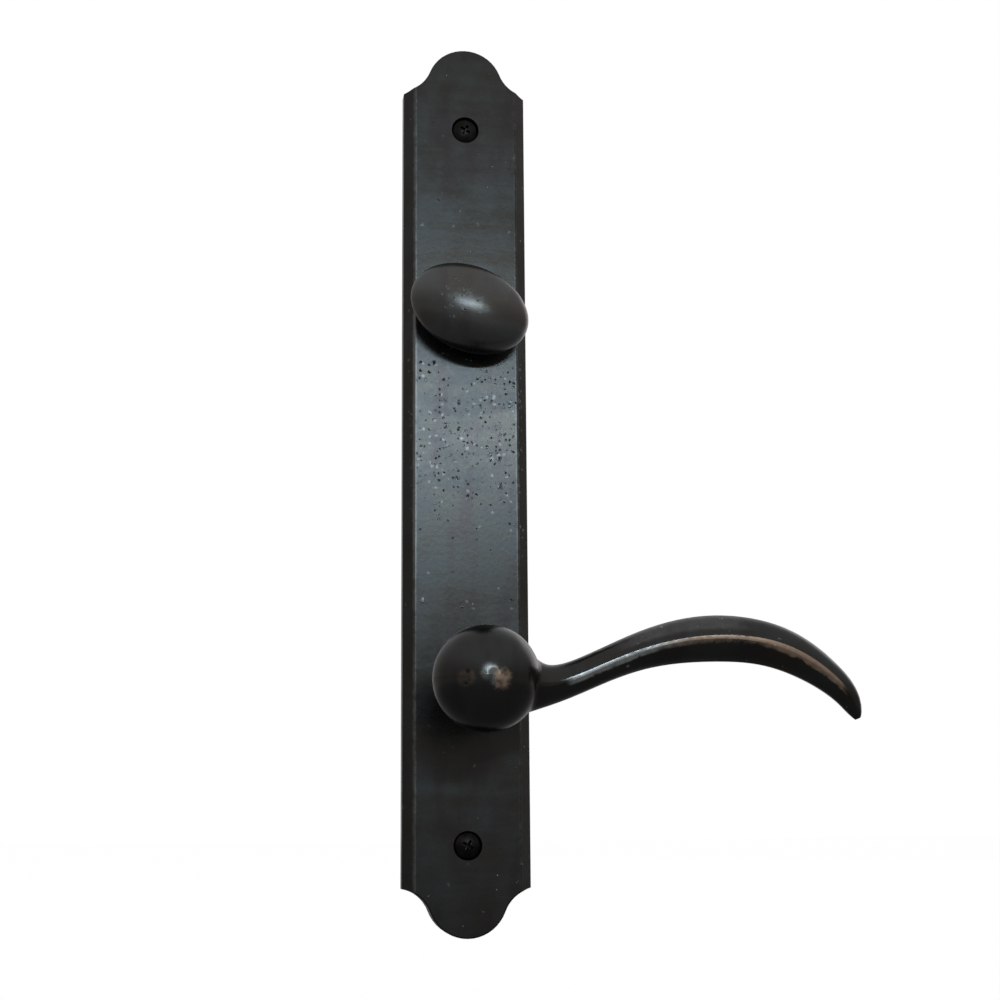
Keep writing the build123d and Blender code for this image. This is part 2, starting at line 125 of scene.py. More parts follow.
class ScrewSettings(bpy.types.PropertyGroup):
    """Sizes of the two mounting screws and of the set screw."""

    head_radius: FloatProperty(
        name="Head radius", description="Radius of the oval head", subtype="DISTANCE", unit="LENGTH", min=0.001,
        default=(SCREWS_HIGH[0] - SCREWS_LOW[0]) / 2,
    )
    dome: FloatProperty(
        name="Dome", description="Rise of the oval head above its rim", subtype="DISTANCE", unit="LENGTH",
        min=0.0001, default=0.0013,
    )
    cone: FloatProperty(
        name="Cone", description="Depth of the countersunk cone under the rim", subtype="DISTANCE", unit="LENGTH",
        min=0.0001, default=0.00282,
    )
    shank_radius: FloatProperty(
        name="Shank radius", description="Radius of the plain shank", subtype="DISTANCE", unit="LENGTH",
        min=0.0005, default=0.00175,
    )
    relief: FloatProperty(
        name="Relief", description="Where the thread starts behind the door's face", subtype="DISTANCE",
        unit="LENGTH", min=0, default=0.0032,
    )
    thread_radius: FloatProperty(
        name="Thread radius", description="Radius over the thread's crests", subtype="DISTANCE", unit="LENGTH",
        min=0.0005, default=0.002,
    )
    thread_depth: FloatProperty(
        name="Thread depth", description="Depth of the thread", subtype="DISTANCE", unit="LENGTH", min=0.0001,
        default=0.00034,
    )
    pitch: FloatProperty(
        name="Pitch", description="Rise of the thread in one turn", subtype="DISTANCE", unit="LENGTH",
        min=0.0001, default=0.0007,
    )
    drive_length: FloatProperty(
        name="Drive length", description="Length of the cross recess", subtype="DISTANCE", unit="LENGTH",
        min=0.0005, default=0.0044,
    )
    drive_width: FloatProperty(
        name="Drive width", description="Width of the cross recess", subtype="DISTANCE", unit="LENGTH",
        min=0.0001, default=0.0009,
    )
    drive_depth: FloatProperty(
        name="Drive depth", description="Depth of the cross recess", subtype="DISTANCE", unit="LENGTH",
        min=0.0001, default=0.0019,
    )
    drive_turn: FloatProperty(
        name="Drive turn", description="How far the cross is turned", subtype="ANGLE", unit="ROTATION",
        default=math.radians(30),
    )
    sides: IntProperty(name="Sides", description="Sides of the turned pieces", min=12, default=48)


class StageSettings(bpy.types.PropertyGroup):
    """Floor, lamps and surroundings."""

    floor_gap: FloatProperty(
        name="Floor gap", description="Gap between the plate's lower end and the floor", subtype="DISTANCE",
        unit="LENGTH", min=0, default=0.028,
    )
    floor_size: FloatProperty(
        name="Floor size", description="Side of the square floor", subtype="DISTANCE", unit="LENGTH", min=0.5,
        default=6.0,
    )
    floor_colour: FloatVectorProperty(
        name="Floor colour", description="Colour of the pale floor", subtype="COLOR", size=3, min=0, max=1,
        default=(0.86, 0.86, 0.86),
    )
    low_light: FloatVectorProperty(
        name="Low light", description="What the metal sees below and level with it", subtype="COLOR", size=3,
        min=0, max=1, default=(0.2, 0.198, 0.185),
    )
    high_light: FloatVectorProperty(
        name="High light", description="What the metal sees overhead", subtype="COLOR", size=3, min=0, max=1,
        default=(0.43, 0.435, 0.44),
    )
    back_light: FloatVectorProperty(
        name="Back light", description="What the metal sees behind the door's face", subtype="COLOR", size=3,
        min=0, max=1, default=(0.68, 0.68, 0.68),
    )
    key_place: FloatVectorProperty(
        name="Key place", description="Place of the wide lamp above the camera", subtype="TRANSLATION",
        unit="LENGTH", size=3, default=(0.07, -1.2, 0.345),
    )
    key_width: FloatProperty(
        name="Key width", description="Width of the lamp above the camera", subtype="DISTANCE", unit="LENGTH",
        min=0.01, default=0.45,
    )
    key_height: FloatProperty(
        name="Key height", description="Height of the lamp above the camera", subtype="DISTANCE", unit="LENGTH",
        min=0.01, default=0.05,
    )
    key_colour: FloatVectorProperty(
        name="Key colour", description="Cool daylight of the lamp above the camera", subtype="COLOR", size=3,
        min=0, max=1, default=(0.7, 0.88, 1.0),
    )
    key_power: FloatProperty(
        name="Key power", description="Power of the lamp above the camera", unit="POWER", min=0, default=1.7,
    )
    side_place: FloatVectorProperty(
        name="Side place", description="Place of the tall lamp at the right, behind the door's face",
        subtype="TRANSLATION", unit="LENGTH", size=3, default=(1.25, 0.97, 0.25),
    )
    side_width: FloatProperty(
        name="Side width", description="Width of the tall lamp", subtype="DISTANCE", unit="LENGTH", min=0.01,
        default=0.9,
    )
    side_height: FloatProperty(
        name="Side height", description="Height of the tall lamp", subtype="DISTANCE", unit="LENGTH", min=0.01,
        default=1.8,
    )
    side_power: FloatProperty(
        name="Side power", description="Power of the tall lamp", unit="POWER", min=0, default=2.3,
    )


class CameraSettings(bpy.types.PropertyGroup):
    """The photograph's viewpoint."""

    place: FloatVectorProperty(
        name="Place", description="Where the camera stands", subtype="TRANSLATION", unit="LENGTH", size=3,
        default=(-0.06502, -0.52386, -0.03487),
    )
    yaw: FloatProperty(
        name="Yaw", description="Turn to the right", subtype="ANGLE", unit="ROTATION", default=0.144741,
    )
    pitch: FloatProperty(
        name="Pitch", description="Tilt upwards", subtype="ANGLE", unit="ROTATION", default=0.174101,
    )
    roll: FloatProperty(
        name="Roll", description="Lean to one side", subtype="ANGLE", unit="ROTATION", default=-0.0071187,
    )
    focal: FloatProperty(
        name="Focal length", description="Focal length on a 36 mm sensor, in millimetres", min=1, default=63.0,
    )


# Shader tools


def feed(tree, node, inputs):
    """Gives a node's inputs their values, or the outputs that feed them."""
    for name, value in inputs.items():
        if isinstance(value, bpy.types.NodeSocket):
            tree.links.new(value, node.inputs[name])
        else:
            node.inputs[name].default_value = value


def put(tree, kind, inputs=None, **settings):
    """Adds a node with its settings and inputs."""
    made = tree.nodes.new(kind)
    for name, value in settings.items():
        setattr(made, name, value)
    feed(tree, made, inputs or {})
    return made


def calc(tree, operation, first, second=0.0, third=0.0):
    """One step of arithmetic."""
    return put(tree, "ShaderNodeMath", {0: first, 1: second, 2: third}, operation=operation).outputs[0]


def fold(tree, operation, values):
    """Puts values together one after the other."""
    result = values[0]
    for value in values[1:]:
        result = calc(tree, operation, result, value)
    return result


def times(tree, *values):
    """Product of the values."""
    return fold(tree, "MULTIPLY", values)


def plus(tree, *values):
    """Sum of the values."""
    return fold(tree, "ADD", values)


def most(tree, *values):
    """Largest of the values."""
    return fold(tree, "MAXIMUM", values)


def ramp(tree, value, start, end, low=0.0, high=1.0):
    """Soft step from low to high while the value goes from start to end."""
    inputs = {"Value": value, 1: start, 2: end, 3: low, 4: high}
    return put(tree, "ShaderNodeMapRange", inputs, interpolation_type="SMOOTHSTEP").outputs[0]


def window(tree, value, start, full, fade, end, high=1.0):
    """Soft window: grows from start to full, and goes out from fade to end."""
    return times(tree, ramp(tree, value, start, full), ramp(tree, value, fade, end, high, 0.0))


def vector(tree, operation, inputs):
    """One step of vector arithmetic."""
    return put(tree, "ShaderNodeVectorMath", inputs, operation=operation).outputs[0]


def noise(tree, where, scale, detail, roughness=0.5):
    """Cloudy noise: its value and its colour."""
    inputs = {"Vector": where, "Scale": scale, "Detail": detail, "Roughness": roughness}
    return put(tree, "ShaderNodeTexNoise", inputs).outputs


def tint(tree, share, first, second):
    """Mix of two colours."""
    inputs = {0: share, 6: first, 7: second}
    return put(tree, "ShaderNodeMix", inputs, data_type="RGBA").outputs[2]


def opaque(colour):
    """Colour with full cover."""
    return (*colour, 1.0)


def lifted(colour, share):
    """Colour times a share."""
    return opaque([share * part for part in colour])


def emboss(tree, shader, height, strength, distance):
    """Small relief of a shader's surface."""
    bump = put(tree, "ShaderNodeBump", {"Height": height, "Strength": strength, "Distance": distance})
    tree.links.new(bump.outputs[0], shader.inputs["Normal"])


def shader_group(name, inputs, outputs):
    """New group of shader nodes with named sockets; gives the group, its entry and its exit."""
    group = bpy.data.node_groups.new(name, "ShaderNodeTree")
    for socket, kind, value in inputs:
        made = group.interface.new_socket(socket, in_out="INPUT", socket_type=kind)
        if value is not None:
            made.default_value = value
    for socket in outputs:
        group.interface.new_socket(socket, in_out="OUTPUT", socket_type="NodeSocketFloat")
    return group, group.nodes.new("NodeGroupInput"), group.nodes.new("NodeGroupOutput")


# Shared effects

MOTTLE_FINER = 14.0
RUB_FINER = 2.2
RUB_STRETCH = (0.25, 1.0, 2.4)
STAIN_SHIFT = (0.3, 0.1, 0.2)
STAIN_STRETCH = (2.6, 1.0, 0.6)
PIT_BEND_SCALE = 900.0
PIT_BEND = 0.0012
SMALLEST_PIT = 0.3
GRAIN_FINER = 6.0


def patina_clouds():
    """Slow clouds, fine mottle, sideways rubbing and run-down stains of a hand-finished patina."""
    inputs = [("Vector", "NodeSocketVector", None), ("Scale", "NodeSocketFloat", 60.0)]
    group, entry, end = shader_group("Patina Clouds", inputs, ["Cloud", "Mottle", "Rub", "Stain"])
    where, scale = entry.outputs["Vector"], entry.outputs["Scale"]
    sideways = put(group, "ShaderNodeMapping", {"Vector": where, "Scale": RUB_STRETCH}).outputs[0]
    run_down = {"Vector": where, "Location": STAIN_SHIFT, "Scale": STAIN_STRETCH}
    downwards = put(group, "ShaderNodeMapping", run_down).outputs[0]
    cloud = noise(group, where, scale, 5.0, 0.6)[0]
    mottle = noise(group, where, times(group, scale, MOTTLE_FINER), 4.0)[0]
    rub = noise(group, sideways, times(group, scale, RUB_FINER), 3.0)[0]
    stain = noise(group, downwards, scale, 4.0)[0]
    shown = {
        "Cloud": ramp(group, cloud, 0.3, 0.7),
        "Mottle": mottle,
        "Rub": ramp(group, rub, 0.32, 0.68),
        "Stain": ramp(group, stain, 0.5, 0.66),
    }
    feed(group, end, shown)
    return group


def casting_pits():
    """Scattered pits of mixed sizes with a low lip round them: one cell in some has a pit."""
    inputs = [
        ("Vector", "NodeSocketVector", None),
        ("Scale", "NodeSocketFloat", 500.0),
        ("Density", "NodeSocketFloat", 0.3),
        ("Size", "NodeSocketFloat", 0.4),
    ]
    group, entry, end = shader_group("Casting Pits", inputs, ["Pit", "Lip"])
    where = entry.outputs["Vector"]
    bent = noise(group, where, PIT_BEND_SCALE, 2.0)[1]
    sway = vector(group, "SUBTRACT", {0: bent, 1: (0.5, 0.5, 0.5)})
    place = vector(group, "ADD", {0: where, 1: vector(group, "SCALE", {0: sway, "Scale": PIT_BEND})})
    cell = {"Vector": place, "Scale": entry.outputs["Scale"]}
    cells = put(group, "ShaderNodeTexVoronoi", cell, feature="F1").outputs
    chance, draw, _ = put(group, "ShaderNodeSeparateColor", {"Color": cells["Color"]}).outputs
    there = calc(group, "LESS_THAN", chance, entry.outputs["Density"])
    share = calc(group, "MULTIPLY_ADD", draw, 1.0 - SMALLEST_PIT, SMALLEST_PIT)
    depth = calc(group, "DIVIDE", cells["Distance"], times(group, share, entry.outputs["Size"]))
    hollow = ramp(group, depth, 0.25, 1.0, 1.0, 0.0)
    lip = window(group, depth, 0.8, 1.1, 1.1, 1.7)
    feed(group, end, {"Pit": times(group, hollow, there), "Lip": times(group, lip, there)})
    return group


def pale_patches():
    """Patches of paler metal, for wear and for painted highlights and sheen, broken up by the patina that holds on.
    """
    inputs = [
        ("Vector", "NodeSocketVector", None),
        ("Scale", "NodeSocketFloat", 300.0),
        ("Exposure", "NodeSocketFloat", 0.0),
        ("Break", "NodeSocketFloat", 0.25),
    ]
    group, entry, end = shader_group("Pale Patches", inputs, ["Paleness"])
    wear_and_highlight = entry.outputs["Exposure"]
    patch = noise(group, entry.outputs["Vector"], entry.outputs["Scale"], 5.0, 0.65)[0]
    loose = times(group, ramp(group, patch, 0.34, 0.66, -1.0, 1.0), entry.outputs["Break"])
    worn = ramp(group, plus(group, loose, wear_and_highlight), 0.15, 0.9)
    feed(group, end, {"Paleness": times(group, worn, ramp(group, wear_and_highlight, 0.0, 0.25))})
    return group


def drawn_grain():
    """Fine parallel lines of drawn, rolled or ground steel, and a faint mottle across them."""
    inputs = [
        ("Vector", "NodeSocketVector", None),
        ("Scale", "NodeSocketFloat", 400.0),
        ("Stretch", "NodeSocketVector", (1.0, 0.05, 1.0)),
    ]
    group, entry, end = shader_group("Drawn Grain", inputs, ["Grain", "Mottle"])
    where, scale = entry.outputs["Vector"], entry.outputs["Scale"]
    drawn = vector(group, "MULTIPLY", {0: where, 1: entry.outputs["Stretch"]})
    lines = noise(group, drawn, times(group, scale, GRAIN_FINER), 3.0)[0]
    mottle = noise(group, where, scale, 4.0)[0]
    feed(group, end, {"Grain": lines, "Mottle": ramp(group, mottle, 0.3, 0.7)})
    return group


def effect(tree, name, build, inputs):
    """Places a shared effect in a material, and builds it the first time."""
    group = bpy.data.node_groups.get(name) or build()
    return put(tree, "ShaderNodeGroup", inputs, node_tree=group).outputs


def bare_material(name):
    """New material; gives it, its nodes, its main shader and the object's own coordinates and normals."""
    material = bpy.data.materials.new(name)
    material.use_nodes = True
    tree = material.node_tree
    tree.nodes.clear()
    shader = tree.nodes.new("ShaderNodeBsdfPrincipled")
    out = tree.nodes.new("ShaderNodeOutputMaterial")
    tree.links.new(shader.outputs[0], out.inputs["Surface"])
    return material, tree, shader, tree.nodes.new("ShaderNodeTexCoord")


# Finishes

# Patterns of the bronze: cells in a metre, and the size of a pit in its cell
CLOUD_SCALE = 55.0
WEAR_SCALE = 420.0
SPECKS = {"Scale": 700.0, "Size": 0.28}
CRATERS = {"Scale": 300.0, "Size": 0.2}
GRAINS = {"Scale": 520.0, "Size": 0.4}
# Shares of the pits' crowd that are craters and bright grains
CRATER_CROWD = 0.35
GRAIN_CROWD = 0.7
# How strongly each sign shows in the colour; grains and pit lips show as paler metal, painted glints in the pit band
# and metal worn by rubbing on the lips
GRAIN_SHINE = 0.45
LIP_SHINE = 0.6
CLOUD_SHARE = 0.7
RUB_SHARE = 0.3
STAIN_SHARE = 0.7
PIT_SHARE = 0.65
# What each sign adds to the roughness
CLOUD_ROUGHNESS = 0.03
MOTTLE_ROUGHNESS = 0.06
PIT_ROUGHNESS = 0.2
WORN_ROUGHNESS = 0.12
# Heights in the relief, as shares of a pit's depth
MOTTLE_HEIGHT = 0.16
LIP_HEIGHT = 0.5


def bronze_finish(name, signs, lift, roughness):
    """Dark bronze patina; signs says where it turns to paler metal through wear and painted highlights, where it is
    pitted, and where painted shade darkens it. Lift paints the whole patina lighter or darker, as painted light.
    """
    use = bpy.context.scene.bronze_settings
    material, tree, shader, coords = bare_material(name)
    where = coords.outputs["Object"]
    spot = put(tree, "ShaderNodeSeparateXYZ", {0: where}).outputs
    facing = put(tree, "ShaderNodeSeparateXYZ", {0: coords.outputs["Normal"]}).outputs
    clouds = effect(tree, "Patina Clouds", patina_clouds, {"Vector": where, "Scale": CLOUD_SCALE})
    sign = signs(tree, spot, facing, clouds)

    def scatter(kind, share):
        """Pits of one kind, a share of the crowd."""
        inputs = {"Vector": where, "Density": times(tree, sign["crowd"], share), **kind}
        return effect(tree, "Casting Pits", casting_pits, inputs)

    specks = scatter(SPECKS, 1.0)
    craters = scatter(CRATERS, CRATER_CROWD)
    grains = scatter(GRAINS, GRAIN_CROWD)["Pit"]
    pits = most(tree, specks["Pit"], craters["Pit"])
    if "dents" in sign:
        pits = most(tree, pits, sign["dents"])
    lips = most(tree, specks["Lip"], craters["Lip"])
    # Paler metal from wear, and painted highlights and sheen.
    holds = {"Vector": where, "Scale": WEAR_SCALE, "Exposure": sign["wear_and_highlight"], "Break": sign["break"]}
    worn = effect(tree, "Pale Patches", pale_patches, holds)["Paleness"]
    # Painted glints: grains and pit lips turn to paler metal, the lips also worn by rubbing.
    bare_and_highlit = most(tree, worn, times(tree, grains, GRAIN_SHINE), times(tree, lips, LIP_SHINE))
    cloudy = plus(tree, times(tree, clouds["Cloud"], CLOUD_SHARE), times(tree, clouds["Rub"], RUB_SHARE))
    ground = tint(tree, cloudy, lifted(use.patina, lift), lifted(use.haze, lift))
    stained_and_shaded = tint(tree, times(tree, clouds["Stain"], STAIN_SHARE), ground, lifted(use.stain, lift))
    # Painted shade where a piece's signs ask for it: the plate's bevels.
    if "dark" in sign:
        stained_and_shaded = tint(tree, sign["dark"], stained_and_shaded, opaque(use.dark))
    metal = tint(tree, bare_and_highlit, stained_and_shaded, sign["bare_and_highlit"])
    pitted = tint(tree, times(tree, pits, PIT_SHARE), metal, opaque(use.pit))
    rough = plus(
        tree,
        ramp(tree, cloudy, 0, 1, roughness - CLOUD_ROUGHNESS, roughness + CLOUD_ROUGHNESS),
        times(tree, clouds["Mottle"], MOTTLE_ROUGHNESS),
        times(tree, pits, PIT_ROUGHNESS),
        times(tree, worn, WORN_ROUGHNESS),
    )
    feed(tree, shader, {"Base Color": pitted, "Metallic": 1.0, "Roughness": rough})
    raised = plus(tree, times(tree, lips, LIP_HEIGHT), times(tree, clouds["Mottle"], MOTTLE_HEIGHT))
    emboss(tree, shader, calc(tree, "SUBTRACT", raised, pits), 1.0, use.pit_depth)
    return material


def dent(tree, spot, x, z, radius):
    """Round place on the front, soft at its edge."""
    across = calc(tree, "SUBTRACT", spot[0], x)
    upright = calc(tree, "SUBTRACT", spot[2], z)
    square = plus(tree, times(tree, across, across), times(tree, upright, upright))
    return ramp(tree, calc(tree, "SQRT", square), 0.3 * radius, radius, 1.0, 0.0)


# The plate's signs, in metres: steps go from a start to an end, and from one share to another,
# and windows have a start, a full place, a fade and an end
ARRIS_INSET = 0.0033
FACE_DEPTH = (0.0012, 0.002)
# Painted highlight along the arrises, in pale metal: strongest at the height where the key lamp's reflection peaks on
# the face, weaker on the right arris.
ARRIS_HIGHLIGHT = (0.0001, 0.0011, 0.85, 0.0)
RIGHT_IS_LESS = (-0.01, 0.01, 1.0, 0.6)
HIGHLIGHT_HEIGHT = 0.078
NEAR_HIGHLIGHT = (0.02, 0.06, 1.0, 0.55)
PIT_BAND = (0.04, 0.07, 0.088, 0.106)
PIT_PATCHES = (0.1, 0.9, 0.4, 1.0)
PIT_CROWD = 0.75
STRAY_PITS = 0.03
# Painted shade: the bevels are painted darker than the face.
BEVEL_SHADE = (0.0001, 0.0008, 0.0, 0.25)
PLATE_BREAK = 0.1


def plate_signs(tree, spot, facing, clouds):
    """Painted highlight along the arrises, painted shade on the bevels, and pits between thumb turn and lever that
    thin out above and below.
    """
    past = calc(tree, "SUBTRACT", calc(tree, "ABSOLUTE", spot[0]), PLATE_HIGH[0] - ARRIS_INSET)
    front = ramp(tree, spot[1], *[PLATE_LOW[1] + depth for depth in FACE_DEPTH], 1.0, 0.0)
    near = ramp(tree, calc(tree, "ABSOLUTE", past), *ARRIS_HIGHLIGHT)
    apart = calc(tree, "ABSOLUTE", calc(tree, "SUBTRACT", spot[2], HIGHLIGHT_HEIGHT))
    patchy = ramp(tree, clouds["Rub"], *PIT_PATCHES)
    crowd = times(tree, window(tree, spot[2], *PIT_BAND), front, patchy, PIT_CROWD)
    # Painted highlight along the arrises, strongest at the height of the lamp's reflection.
    rubbed_and_highlit = times(tree, near, front, ramp(tree, spot[0], *RIGHT_IS_LESS), ramp(tree, apart, *NEAR_HIGHLIGHT))
    return {
        "wear_and_highlight": rubbed_and_highlit,
        "bare_and_highlit": opaque(bpy.context.scene.bronze_settings.rubbed_and_highlit),
        "crowd": plus(tree, crowd, STRAY_PITS),
        "break": PLATE_BREAK,
        # Painted shade on the bevels.
        "dark": ramp(tree, past, *BEVEL_SHADE),
    }


# The lever's signs, in the same way; a round place has its x, z and radius, and how far it turns to paler metal
# The ridge band faces the key lamp's reflection: worn to copper along the arm, and near the neck a painted highlight
# in pale metal, partly burnish.
RIDGE_FACING = (-0.996, -0.087)
RIDGE_SLIM = (0.036, 0.05, 0.945, 0.985)
RIDGE_BROAD = (0.07, 0.09, 0.0, 0.045)
RIDGE_EDGE = (-0.04, 0.02)
RIDGE_STRETCH = (0.019, 0.025, 0.098, 0.103, 0.8)
# Painted sheen on the arm's upper flank: pale metal where it faces up towards the light overhead.
FLANK_FACING = (0.1, 0.5)
FLANK_STRETCH = (0.02, 0.045, 0.065, 0.09, 0.31)
BALL_FRONT = (-0.056, -0.054, 1.0, 0.0)
# On the ball, in order: a worn copper patch, a painted highlight where the key lamp's highlight falls, partly
# burnish, and a paler spot round the two pits.
BALL_WEAR_AND_HIGHLIGHT = ((0.002, -0.0012, 0.0048, 0.55), (-0.0012, 0.0008, 0.0042, 0.38), (-0.0069, -0.0008, 0.0045, 0.3))
BALL_PITS = ((-0.0068, 0.0008, 0.0009), (-0.0072, -0.0024, 0.0007))
ARM_CROWD = (0.6, 0.95, 0.015, 0.08)
ARM_CROWD_FROM = (0.02, 0.04)
BALL_BREAK = (-0.0015, 0.001, 0.06, 0.2)
ARM_BREAK_LESS = (0.01, 0.018, 0.0, 0.1)
FLANK_BREAK = (0.05, 0.3, 1.0, 0.2)
# Spans where the paler metal is pale instead of copper: the painted highlight near the neck and on the ball, and the
# painted sheen on the upper flank.
NECK_BURNISH_AND_HIGHLIGHT = (0.012, 0.018, 0.04, 0.062)
BALL_BURNISH_AND_HIGHLIGHT = (-0.005, -0.004, -0.0006, 0.0012)
FLANK_SHEEN = (0.3, 0.5)


def lever_signs(tree, spot, facing, clouds):
    """Ridge of the arm worn to copper, with a painted highlight near the neck; painted sheen on the arm's upper
    flank; a worn copper patch, a painted highlight and a paler spot on the ball's front; and two pits on the ball's
    left.
    """
    use = bpy.context.scene.bronze_settings
    ridge = plus(tree, times(tree, facing[1], RIDGE_FACING[0]), times(tree, facing[2], RIDGE_FACING[1]))
    over = calc(tree, "SUBTRACT", ridge, ramp(tree, spot[0], *RIDGE_SLIM))
    line = ramp(tree, plus(tree, over, ramp(tree, spot[0], *RIDGE_BROAD)), *RIDGE_EDGE)
    arm = times(tree, line, window(tree, spot[0], *RIDGE_STRETCH))
    flank = times(tree, ramp(tree, facing[2], *FLANK_FACING), window(tree, spot[0], *FLANK_STRETCH))
    front = ramp(tree, spot[1], *BALL_FRONT)
    ball = most(tree, *[times(tree, dent(tree, spot, *place), share) for *place, share in BALL_WEAR_AND_HIGHLIGHT])
    pits = most(tree, *[dent(tree, spot, *place) for place in BALL_PITS])
    loose = calc(tree, "SUBTRACT", ramp(tree, spot[0], *BALL_BREAK), ramp(tree, spot[0], *ARM_BREAK_LESS))
    burnished_and_highlit = most(
        tree,
        window(tree, spot[0], *NECK_BURNISH_AND_HIGHLIGHT),
        window(tree, spot[0], *BALL_BURNISH_AND_HIGHLIGHT),
        ramp(tree, facing[2], *FLANK_SHEEN),
    )
    return {
        "wear_and_highlight": most(tree, arm, flank, times(tree, ball, front)),
        "bare_and_highlit": tint(tree, burnished_and_highlit, opaque(use.copper), opaque(use.burnished_and_highlit)),
        "crowd": times(tree, ramp(tree, clouds["Rub"], *ARM_CROWD), ramp(tree, spot[0], *ARM_CROWD_FROM)),
        "break": times(tree, loose, ramp(tree, facing[2], *FLANK_BREAK)),
        "dents": times(tree, pits, front),
    }


# The thumb turn's signs; the crown's place is told from the knob's middle
CROWN_X = -0.004
CROWN_RISE = 0.0015
CROWN_RADIUS = 0.008
CROWN_CROWD = 0.75
KNOB_PITS = 0.02
KNOB_RUB = (0.97, 1.0, 0.0, 0.25)
KNOB_BREAK = 0.25


def turn_signs(tree, spot, facing, clouds):
    """Crown of the knob, worn a little and pitted."""
    low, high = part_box("thumb_turn")
    crown = dent(tree, spot, CROWN_X, (low[2] + high[2]) / 2 + CROWN_RISE, CROWN_RADIUS)
    return {
        "wear_and_highlight": ramp(tree, times(tree, facing[1], -1.0), *KNOB_RUB),
        "bare_and_highlit": opaque(bpy.context.scene.bronze_settings.rubbed_and_highlit),
        "crowd": plus(tree, times(tree, crown, CROWN_CROWD), KNOB_PITS),
        "break": KNOB_BREAK,
    }


GRAIN_ROUGHNESS = 0.16
NYLON_SCALE = 160.0
NYLON_RELIEF = 0.00004
NYLON_BLACK = (0.016, 0.016, 0.017, 1.0)
NYLON_GREY = (0.03, 0.03, 0.031, 1.0)


def steel_finish(name, colour, shade, roughness, scale, stretch, relief):
    """Plated, drawn or oiled steel with its grain."""
    material, tree, shader, coords = bare_material(name)
    grain = {"Vector": coords.outputs["Object"], "Scale": scale, "Stretch": stretch}
    lines = effect(tree, "Drawn Grain", drawn_grain, grain)
    mottled = tint(tree, lines["Mottle"], opaque(colour), opaque(shade))
    rough = ramp(tree, lines["Grain"], 0.25, 0.75, roughness, roughness + GRAIN_ROUGHNESS)
    feed(tree, shader, {"Base Color": mottled, "Metallic": 1.0, "Roughness": rough})
    emboss(tree, shader, lines["Grain"], 0.6, relief)
    return material


def nylon_finish(name):
    """Black moulded nylon, faintly grained and a little waxy."""
    material, tree, shader, coords = bare_material(name)
    inputs = {"Vector": coords.outputs["Object"], "Scale": NYLON_SCALE}
    clouds = effect(tree, "Patina Clouds", patina_clouds, inputs)
    colour = tint(tree, clouds["Cloud"], NYLON_BLACK, NYLON_GREY)
    rough = ramp(tree, clouds["Mottle"], 0.2, 0.8, 0.42, 0.6)
    feed(tree, shader, {"Base Color": colour, "Roughness": rough})
    emboss(tree, shader, clouds["Mottle"], 0.5, NYLON_RELIEF)
    return material


# Steels: colour, shade, roughness, scale of the lines, their stretch and the depth of their relief
STEELS = {
    "zinc drawn": ((0.56, 0.57, 0.57), (0.42, 0.43, 0.43), 0.3, 260.0, (1.0, 0.05, 1.0), 0.00003),
    "zinc rolled": ((0.56, 0.57, 0.57), (0.42, 0.43, 0.43), 0.32, 300.0, (0.06, 1.0, 1.0), 0.00002),
    "spring steel oiled": ((0.16, 0.155, 0.15), (0.1, 0.097, 0.095), 0.25, 320.0, (0.06, 1.0, 1.0), 0.00002),
    "steel blackened": ((0.03, 0.029, 0.026), (0.018, 0.017, 0.015), 0.28, 420.0, (1.0, 1.0, 0.3), 0.00003),
}


def steel(name):
    """One of the steels, made once."""
    return bpy.data.materials.get(name) or steel_finish(name, *STEELS[name])


def dress(node, material):
    """Gives a CAD node its finish."""
    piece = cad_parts[node]
    for slot in piece.material_slots:
        slot.material = material


# Modelling tools

# The thread's section: width of its foot in the pitch, width of its crest in the foot, and its sinking into the core
THREAD_FOOT = 0.84
THREAD_CREST = 0.19
THREAD_SUNK = 0.15
THREAD_STEPS = 24
EDGE_WIDTH = 0.00008
EDGE_ANGLE = math.radians(40)
SMOOTH_ANGLE = math.radians(35)


def start_clean():
    """Leaves edit mode and deselects everything."""
    if bpy.context.object and bpy.context.object.mode != "OBJECT":
        bpy.ops.object.mode_set(mode="OBJECT")
    bpy.ops.object.select_all(action="DESELECT")


def only(piece):
    """Makes one piece the selected and active one."""
    start_clean()
    piece.select_set(True)
    bpy.context.view_layer.objects.active = piece


def turned(name, rings, sides):
    """Piece turned about Z: a disc extruded from ring to ring, each ring a depth and a radius."""
    start_clean()
    depth, radius = rings[0]
    bpy.ops.mesh.primitive_circle_add(vertices=sides, radius=radius, fill_type="NGON", location=(0, 0, depth))
    piece = bpy.context.object
    piece.name = name
    bpy.ops.object.transform_apply(location=True, rotation=True, scale=True)
    bpy.ops.object.mode_set(mode="EDIT")
    bpy.ops.mesh.select_all(action="SELECT")
    for next_depth, next_radius in rings[1:]:
        bpy.ops.mesh.extrude_region_move(TRANSFORM_OT_translate={"value": (0, 0, next_depth - depth)})
        grow = next_radius / radius
        bpy.ops.transform.resize(value=(grow, grow, 1), center_override=(0, 0, next_depth))
        depth, radius = next_depth, next_radius
    bpy.ops.mesh.select_all(action="SELECT")
    bpy.ops.mesh.normals_make_consistent(inside=False)
    bpy.ops.object.mode_set(mode="OBJECT")
    return piece


def cut_away(piece, cutter):
    """Cuts one piece with another, which is then deleted."""
    only(piece)
    cut = piece.modifiers.new("cut", "BOOLEAN")
    cut.operation = "DIFFERENCE"
    cut.solver = "EXACT"
    cut.object = cutter
    bpy.ops.object.modifier_apply(modifier=cut.name)
    bpy.data.objects.remove(cutter)


